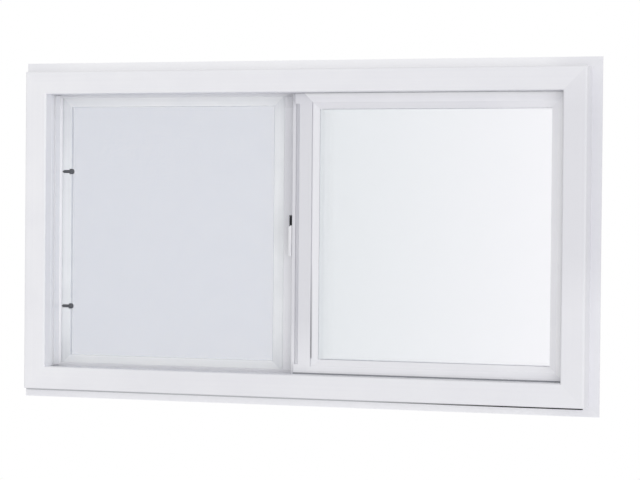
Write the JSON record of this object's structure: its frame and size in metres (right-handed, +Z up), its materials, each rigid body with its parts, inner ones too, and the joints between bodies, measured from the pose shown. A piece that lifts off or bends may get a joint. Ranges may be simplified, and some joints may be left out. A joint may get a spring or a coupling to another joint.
{
  "type": "horizontal sliding window",
  "caption": "White vinyl horizontal sliding window with a plain flange, shown open: the sash stands over the fixed glass and the insect screen fills the vent",
  "frame": {"origin": "On the room side of the mounting flange, at mid-width and mid-length of its bottom run.", "axes": "X to the right seen from the room, Y from the room to the outdoors, Z up."},
  "size_m": [0.834, 0.073, 0.479],
  "materials": {
    "white_vinyl": "satin",
    "white_plastic": "gloss",
    "dark_plastic": "matte",
    "clear_glass": "polished",
    "spacer_metal": "satin",
    "white_aluminium": "satin",
    "screen_wire": "matte",
    "black_rubber": "matte",
    "grey_pile": "matte",
    "grey_nylon": "matte"
  },
  "bodies": {
    "frame": {"dust_plug": "grey_pile", "fixed_bead_bottom": "white_vinyl", "fixed_bead_left": "white_vinyl", "fixed_bead_right": "white_vinyl", "fixed_bead_top": "white_vinyl", "fixed_glass_inner": "clear_glass", "fixed_glass_outer": "clear_glass", "fixed_spacer": "spacer_metal", "frame_head": "white_vinyl", "frame_left_jamb": "white_vinyl", "frame_right_jamb": "white_vinyl", "frame_sill": "white_vinyl", "left_jamb_cover": "white_vinyl", "meeting_stile": "white_vinyl", "right_jamb_pile": "grey_pile", "screen_bottom_rail": "white_aluminium", "screen_left_stile": "white_aluminium", "screen_mesh": "screen_wire", "screen_right_stile": "white_aluminium", "screen_spline": "black_rubber", "screen_top_rail": "white_aluminium", "sill_gasket": "black_rubber"},
    "sash": {"sash_bead_bottom": "white_vinyl", "sash_bead_left": "white_vinyl", "sash_bead_right": "white_vinyl", "sash_bead_top": "white_vinyl", "sash_bottom_rail": "white_vinyl", "sash_face_pile": "grey_pile", "sash_glass_inner": "clear_glass", "sash_glass_outer": "clear_glass", "sash_glides": "grey_nylon", "sash_left_stile": "white_vinyl", "sash_pile_seal": "grey_pile", "sash_right_stile": "white_vinyl", "sash_spacer": "spacer_metal", "sash_top_rail": "white_vinyl", "latch_case": "dark_plastic"},
    "latch": {"latch_slider": "white_plastic"},
    "plunger_upper": {"plunger_upper": "dark_plastic"},
    "plunger_lower": {"plunger_lower": "dark_plastic"}
  },
  "joints": [
    {"name": "sash_slide", "type": "slide", "parent": "frame", "child": "sash", "axis": [-1, 0, 0], "range_m": [0, 0.353]},
    {"name": "latch_slide", "type": "slide", "parent": "sash", "child": "latch", "axis": [0, 0, 1], "range_m": [0, 0.014]},
    {"name": "plunger_upper_pull", "type": "slide", "parent": "frame", "child": "plunger_upper", "axis": [1, 0, 0], "range_m": [0, 0.007], "stiffness_N_per_m": 300},
    {"name": "plunger_lower_pull", "type": "slide", "parent": "frame", "child": "plunger_lower", "axis": [1, 0, 0], "range_m": [0, 0.007], "stiffness_N_per_m": 300}
  ]
}
